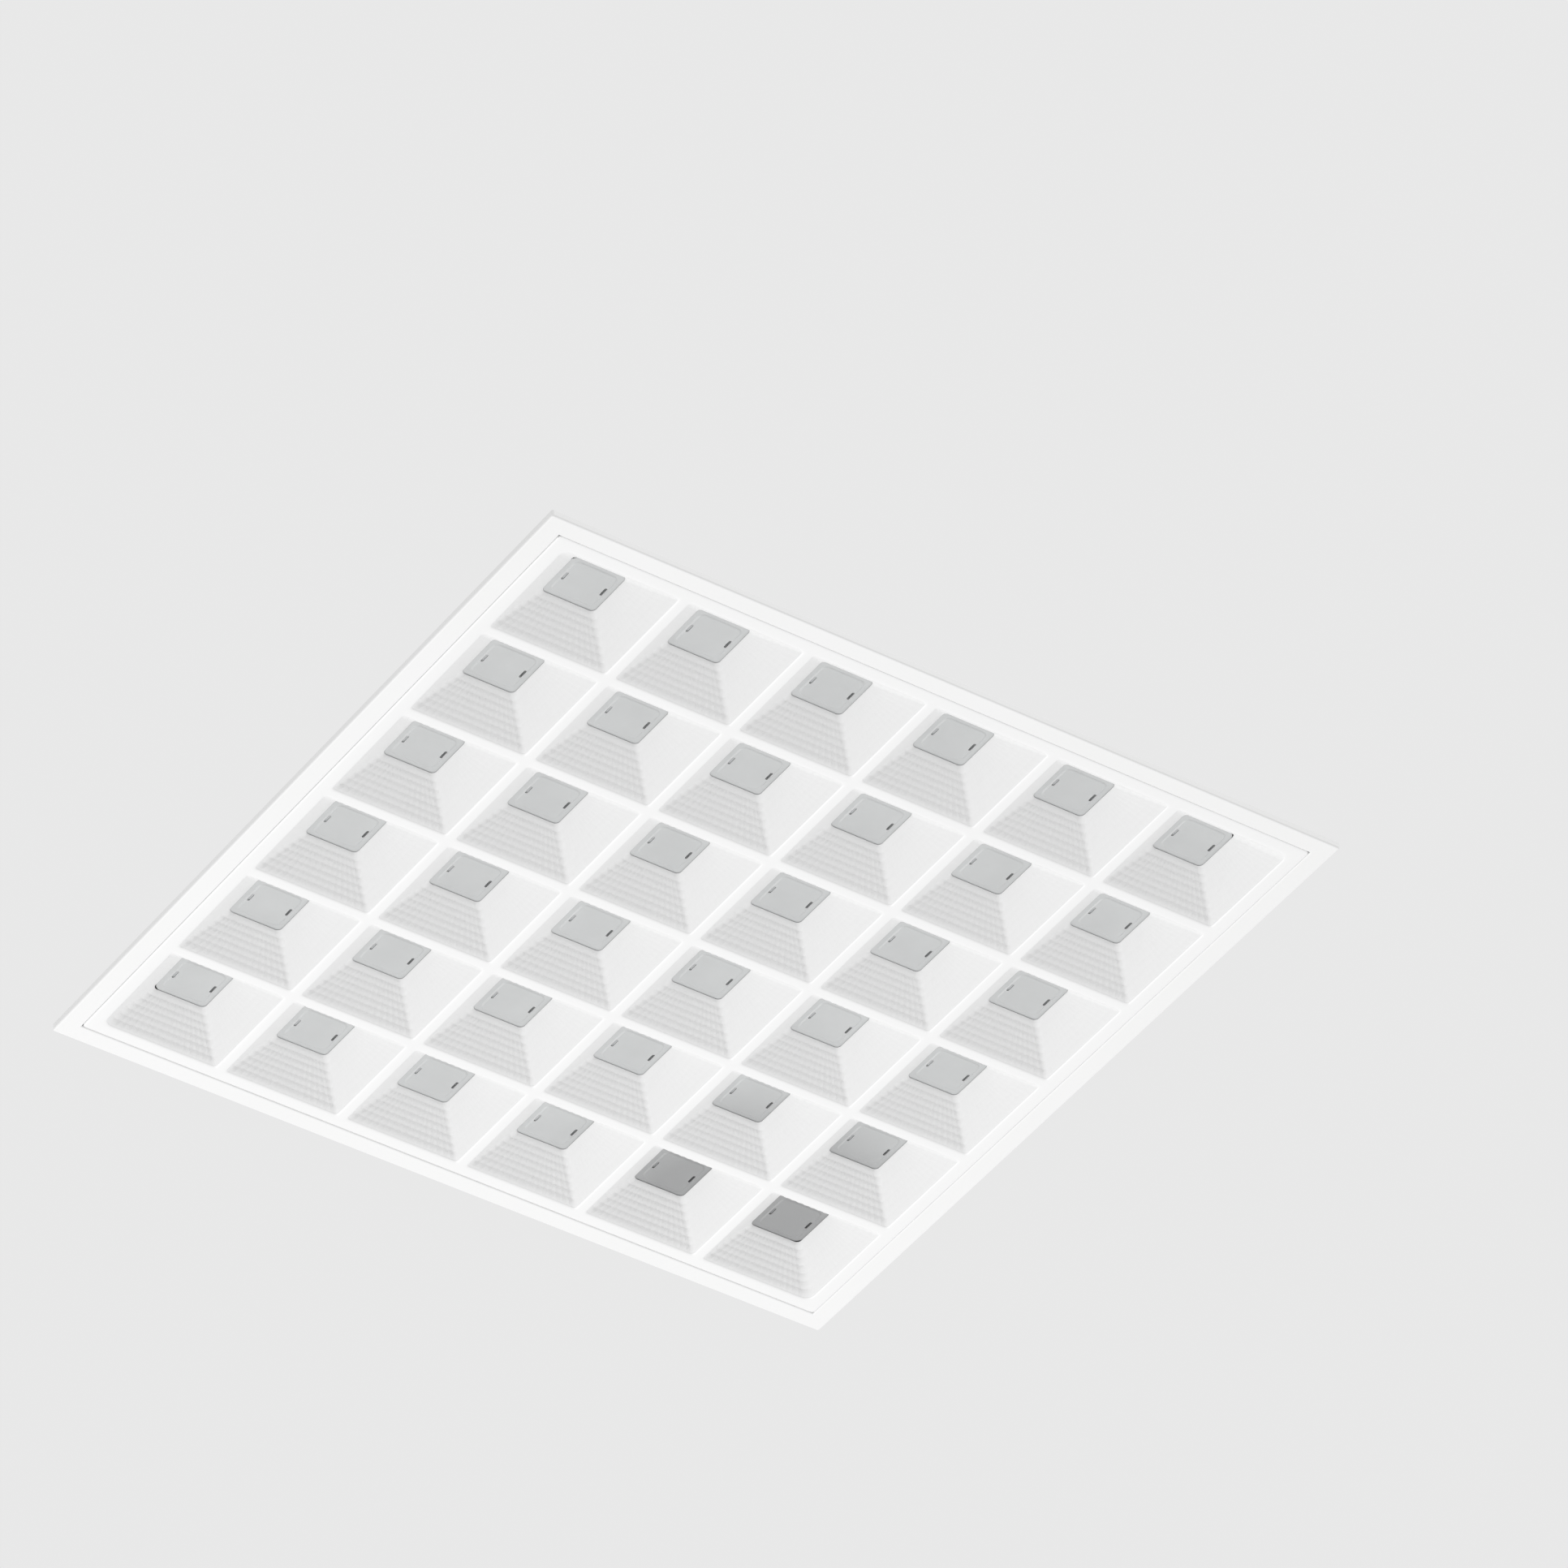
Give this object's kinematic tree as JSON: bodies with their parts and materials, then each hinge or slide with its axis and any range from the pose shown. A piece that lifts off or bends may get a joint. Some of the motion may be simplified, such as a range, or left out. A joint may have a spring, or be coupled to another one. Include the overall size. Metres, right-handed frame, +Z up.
{
  "type": "recessed ceiling light",
  "caption": "Square recessed ceiling light: a white rim and a hinged louvre of tapered wells with lens covers, under a sloping pan with a driver box.",
  "frame": {"origin": "middle of the visible face, on the plane of the rim's lower face", "axes": "+Z up into the ceiling, +Y towards the louvre's hinge, +X along the hinge"},
  "size_m": [0.595, 0.595, 0.0593],
  "materials": {
    "rim_paint": "satin white powder coat",
    "louvre_plastic": "satin white moulding",
    "lens_plastic": "frosted",
    "pan_steel": "white coated sheet",
    "box_steel": "galvanised sheet",
    "clip_steel": "galvanised strip",
    "steel_fittings": "zinc plated",
    "brass_fittings": "turned",
    "board_laminate": "white solder mask",
    "light_source": "phosphor",
    "connector_plastic": "moulded",
    "driver_case": "moulded",
    "terminal_plastic": "moulded",
    "lever_plastic": "moulded",
    "grommet_rubber": "moulded",
    "lead_sheath": "extruded",
    "earth_sheath": "extruded",
    "magnet_plating": "nickel plated"
  },
  "bodies": {
    "housing": {"board_connectors": "connector_plastic", "board_link_leads": "lead_sheath", "board_screws": "steel_fittings", "clip_posts": "steel_fittings", "clip_screws": "steel_fittings", "driver": "driver_case", "driver_box": "box_steel", "driver_screws": "steel_fittings", "earth_lead": "earth_sheath", "earth_nut": "brass_fittings", "earth_stud": "brass_fittings", "frame_rivets": "steel_fittings", "front_frame": "rim_paint", "housing_pan": "pan_steel", "inlet_grommet": "grommet_rubber", "input_leads": "lead_sheath", "lead_grommet": "grommet_rubber", "led_board_1": "board_laminate", "led_board_2": "board_laminate", "led_board_3": "board_laminate", "led_board_4": "board_laminate", "led_board_5": "board_laminate", "led_board_6": "board_laminate", "led_packages_1": "light_source", "led_packages_2": "light_source", "led_packages_3": "light_source", "led_packages_4": "light_source", "led_packages_5": "light_source", "led_packages_6": "light_source", "lens_row_1": "lens_plastic", "lens_row_2": "lens_plastic", "lens_row_3": "lens_plastic", "lens_row_4": "lens_plastic", "lens_row_5": "lens_plastic", "lens_row_6": "lens_plastic", "lid_pin_left": "steel_fittings", "lid_pin_right": "steel_fittings", "output_leads": "lead_sheath", "terminal_block": "terminal_plastic"},
    "louvre_door": {"louvre": "louvre_plastic", "hinge_pin_left": "steel_fittings", "hinge_pin_right": "steel_fittings", "catch_magnet_left": "magnet_plating", "catch_magnet_right": "magnet_plating"},
    "box_lid": {"driver_box_lid": "box_steel"},
    "lever_1": {"terminal_lever_1": "lever_plastic"},
    "lever_2": {"terminal_lever_2": "lever_plastic"},
    "lever_3": {"terminal_lever_3": "lever_plastic"},
    "clip_1": {"hold_down_clip_1": "clip_steel"},
    "clip_2": {"hold_down_clip_2": "clip_steel"},
    "clip_3": {"hold_down_clip_3": "clip_steel"},
    "clip_4": {"hold_down_clip_4": "clip_steel"}
  },
  "joints": [
    {"name": "louvre_hinge", "type": "hinge", "parent": "housing", "child": "louvre_door", "pos_m": [0, 0.2745, 0.0032], "axis": [1, 0, 0], "range_deg": [0, 90]},
    {"name": "lid_hinge", "type": "hinge", "parent": "housing", "child": "box_lid", "pos_m": [0, 0.0628, 0.0573], "axis": [-1, 0, 0], "range_deg": [0, 110]},
    {"name": "lever_1_hinge", "type": "hinge", "parent": "housing", "child": "lever_1", "pos_m": [-0.117, -0.0095, 0.042], "axis": [0, -1, 0], "range_deg": [0, 90]},
    {"name": "lever_2_hinge", "type": "hinge", "parent": "housing", "child": "lever_2", "pos_m": [-0.117, 0, 0.042], "axis": [0, -1, 0], "range_deg": [0, 90]},
    {"name": "lever_3_hinge", "type": "hinge", "parent": "housing", "child": "lever_3", "pos_m": [-0.117, 0.0095, 0.042], "axis": [0, -1, 0], "range_deg": [0, 90]},
    {"name": "clip_1_swing", "type": "hinge", "parent": "housing", "child": "clip_1", "pos_m": [-0.18, -0.246, 0.0388], "axis": [0, 0, -1], "range_deg": [0, 90]},
    {"name": "clip_2_swing", "type": "hinge", "parent": "housing", "child": "clip_2", "pos_m": [0.18, -0.246, 0.0388], "axis": [0, 0, 1], "range_deg": [0, 90]},
    {"name": "clip_3_swing", "type": "hinge", "parent": "housing", "child": "clip_3", "pos_m": [-0.18, 0.246, 0.0388], "axis": [0, 0, 1], "range_deg": [0, 90]},
    {"name": "clip_4_swing", "type": "hinge", "parent": "housing", "child": "clip_4", "pos_m": [0.18, 0.246, 0.0388], "axis": [0, 0, -1], "range_deg": [0, 90]}
  ]
}
